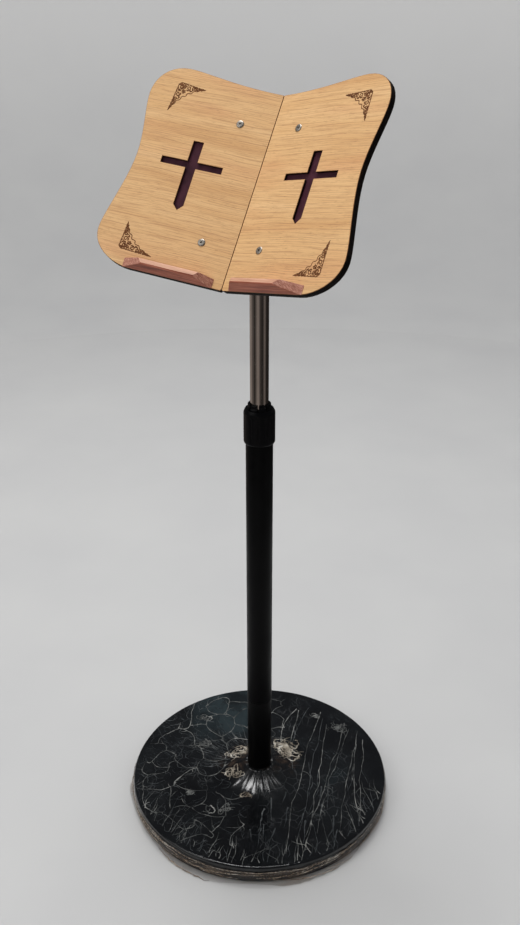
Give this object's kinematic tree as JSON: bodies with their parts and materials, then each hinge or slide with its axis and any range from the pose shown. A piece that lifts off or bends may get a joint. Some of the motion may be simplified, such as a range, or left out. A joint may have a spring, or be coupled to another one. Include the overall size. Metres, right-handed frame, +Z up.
{
  "type": "telescopic book stand",
  "caption": "Floor-standing reading desk: open-book wooden leaves with ledges that tilt and swivel on a telescopic column over a round weighted base.",
  "frame": {"origin": "middle of the base, on the floor", "axes": "+Z up along the column; the reader stands at -Y and the desk's spine lies in the plane X = 0"},
  "size_m": [0.41, 0.41, 1.0848],
  "materials": {
    "concrete": "rough cast disc, hidden under the film",
    "marble_film": "glossy black self-adhesive film with a white-veined marble pattern",
    "clear_film": "crinkled clear film, brownish where it doubles",
    "rubber": "matt black",
    "black_coat": "satin black powder coat",
    "black_plastic": "satin black moulding",
    "stainless": "mirror-polished stainless tube",
    "zinc": "bright zinc plate",
    "aluminium_rivet": "dull grey blind rivet",
    "beech": "satin light beech laminate, laser-cut edges",
    "dark_core": "board with dark burnt edges",
    "maroon_sheet": "dark maroon backing sheet",
    "red_wood": "reddish-brown stained strip"
  },
  "bodies": {
    "stand": {"base_disc": "concrete", "marble_film": "marble_film", "rim_film": "clear_film", "foot_1": "rubber", "foot_2": "rubber", "foot_3": "rubber", "foot_4": "rubber", "hub_flange": "black_coat", "base_bolt": "zinc", "base_washer": "zinc", "post_plug": "zinc", "base_post": "black_coat", "post_coupler": "zinc", "post_set_screw": "zinc", "column_set_screw": "zinc", "column_tube": "black_coat", "clamp_collet": "black_plastic"},
    "clamp": {"clamp_nut": "black_plastic"},
    "mast": {"mast_tube": "stainless", "guide_bush": "black_plastic"},
    "head": {"head_socket": "black_coat", "yoke": "black_coat", "yoke_screw": "zinc", "tilt_bolt": "zinc", "knob_washer": "zinc", "friction_washer_left": "black_plastic", "friction_washer_right": "black_plastic"},
    "swivel_lock": {"swivel_screw": "black_plastic"},
    "tilt_lock": {"tilt_knob": "black_plastic"},
    "desk": {"tilt_lug": "black_coat", "back_bracket": "black_coat", "back_panel_left": "dark_core", "front_panel_left": "beech", "inlay_left": "maroon_sheet", "ledge_left": "red_wood", "rivet_lower_left": "aluminium_rivet", "rivet_upper_left": "aluminium_rivet", "back_panel_right": "dark_core", "front_panel_right": "beech", "inlay_right": "maroon_sheet", "ledge_right": "red_wood", "rivet_lower_right": "aluminium_rivet", "rivet_upper_right": "aluminium_rivet", "ledge_screw_left_1": "zinc", "ledge_screw_left_2": "zinc", "ledge_screw_right_1": "zinc", "ledge_screw_right_2": "zinc"}
  },
  "joints": [
    {"name": "clamp_nut_turn", "type": "hinge", "parent": "stand", "child": "clamp", "pos_m": [0, 0, 0.63], "axis": [0, 0, 1], "range_deg": [-120, 0]},
    {"name": "mast_slide", "type": "slide", "parent": "stand", "child": "mast", "axis": [0, 0, 1], "range_m": [-0.165, 0.16]},
    {"name": "head_swivel", "type": "hinge", "parent": "mast", "child": "head", "pos_m": [0, 0, 0.86], "axis": [0, 0, 1], "continuous": true},
    {"name": "swivel_screw_turn", "type": "hinge", "parent": "head", "child": "swivel_lock", "pos_m": [0, 0.02, 0.858], "axis": [0, 1, 0], "range_deg": [-180, 0]},
    {"name": "desk_tilt", "type": "hinge", "parent": "head", "child": "desk", "pos_m": [0, 0, 0.9049], "axis": [1, 0, 0], "range_deg": [-40, 20]},
    {"name": "tilt_knob_turn", "type": "hinge", "parent": "head", "child": "tilt_lock", "pos_m": [0.02, 0, 0.9049], "axis": [1, 0, 0], "range_deg": [-180, 0]}
  ]
}
